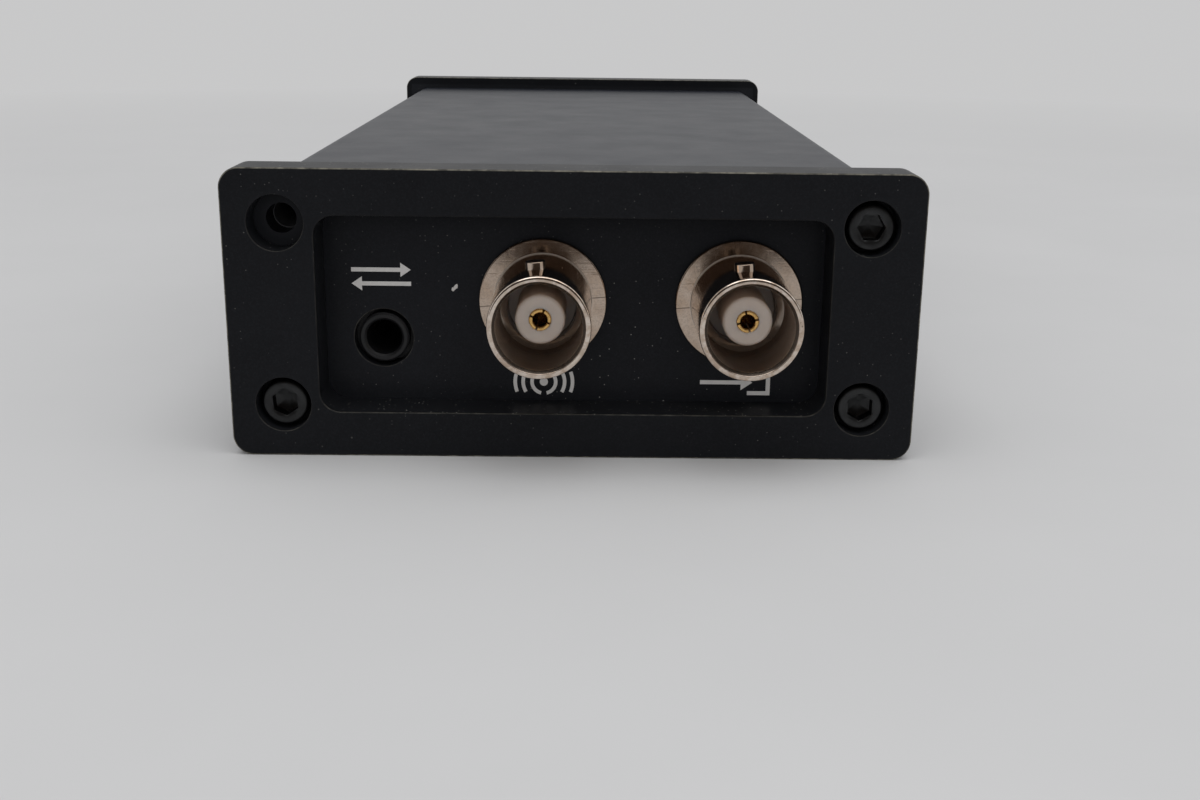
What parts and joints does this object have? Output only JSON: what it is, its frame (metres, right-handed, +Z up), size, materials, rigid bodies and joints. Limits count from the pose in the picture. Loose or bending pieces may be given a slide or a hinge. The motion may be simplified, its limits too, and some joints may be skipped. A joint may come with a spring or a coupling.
{
  "type": "automatic antenna tuner",
  "caption": "Long flat black antenna tuner box with framed ends, bayonet coaxial jacks and a control jack at the rear, and a tune button with status lights at the front.",
  "frame": {"origin": "middle of the box that bounds the part, on the surface that the two end bezels stand on", "axes": "+X across, to the right of a viewer who faces the connector end, +Y from the connector end to the button end, +Z up"},
  "size_m": [0.067, 0.1554, 0.0283],
  "materials": {
    "black_anodised_case": "satin black anodised extrusion",
    "black_anodised_bezel": "fine blasted matte black anodised",
    "black_panel": "satin black",
    "black_oxide_steel": "black oxide",
    "nickel_plating": "bright nickel plated brass",
    "white_insulator": "white fluoropolymer",
    "gold_plating": "gold plated",
    "bright_steel": "bright zinc plated",
    "tinned_wire": "tinned copper",
    "black_plastic": "matte moulded",
    "spring_brass": "plain spring brass",
    "green_board": "solder mask on glass laminate",
    "pale_plastic": "moulded relay case",
    "red_core": "painted iron powder",
    "enamelled_wire": "enamelled copper",
    "grey_ferrite": "bare ferrite",
    "tan_ceramic": "fired ceramic",
    "blue_sleeve": "printed sleeve over a can",
    "grey_plastic": "moulded cap",
    "clear_lens": "diffused lens",
    "battery_wrap": "plain wrapped block",
    "red_wire": "insulated lead",
    "black_wire": "insulated lead",
    "foam": "soft foam"
  },
  "bodies": {
    "housing": {"case_extrusion": "black_anodised_case", "rear_bezel": "black_anodised_bezel", "front_bezel": "black_anodised_bezel", "rear_panel": "black_panel", "front_panel": "black_panel", "rear_screws": "black_oxide_steel", "front_screws": "black_oxide_steel", "antenna_jack_shell": "nickel_plating", "radio_jack_shell": "nickel_plating", "antenna_jack_insulator": "white_insulator", "radio_jack_insulator": "white_insulator", "antenna_jack_contact": "gold_plating", "radio_jack_contact": "gold_plating", "jack_lock_washers": "bright_steel", "jack_nuts": "nickel_plating", "jack_leads": "tinned_wire", "control_jack_body": "black_plastic", "control_jack_contacts": "spring_brass", "main_board": "green_board", "relays": "pale_plastic", "toroid_cores": "red_core", "toroid_windings": "enamelled_wire", "air_coils": "enamelled_wire", "coupler_cores": "grey_ferrite", "coupler_windings": "enamelled_wire", "tuning_capacitors": "tan_ceramic", "relay_drivers": "black_plastic", "microcontroller": "black_plastic", "crystal": "bright_steel", "voltage_regulator": "black_plastic", "electrolytic_capacitors": "blue_sleeve", "tune_switch_body": "black_plastic", "tune_switch_spring": "bright_steel", "status_light_holders": "black_plastic", "status_lights": "clear_lens", "battery": "battery_wrap", "battery_snap": "black_plastic", "positive_lead": "red_wire", "negative_lead": "black_wire", "battery_pads": "foam"},
    "button": {"tune_button": "grey_plastic"}
  },
  "joints": [
    {"name": "tune_press", "type": "slide", "parent": "housing", "child": "button", "axis": [0, -1, 0], "range_m": [0, 0.0012], "stiffness_N_per_m": 800, "springref_m": -0.0005, "deforming": ["tune_switch_spring"]}
  ]
}
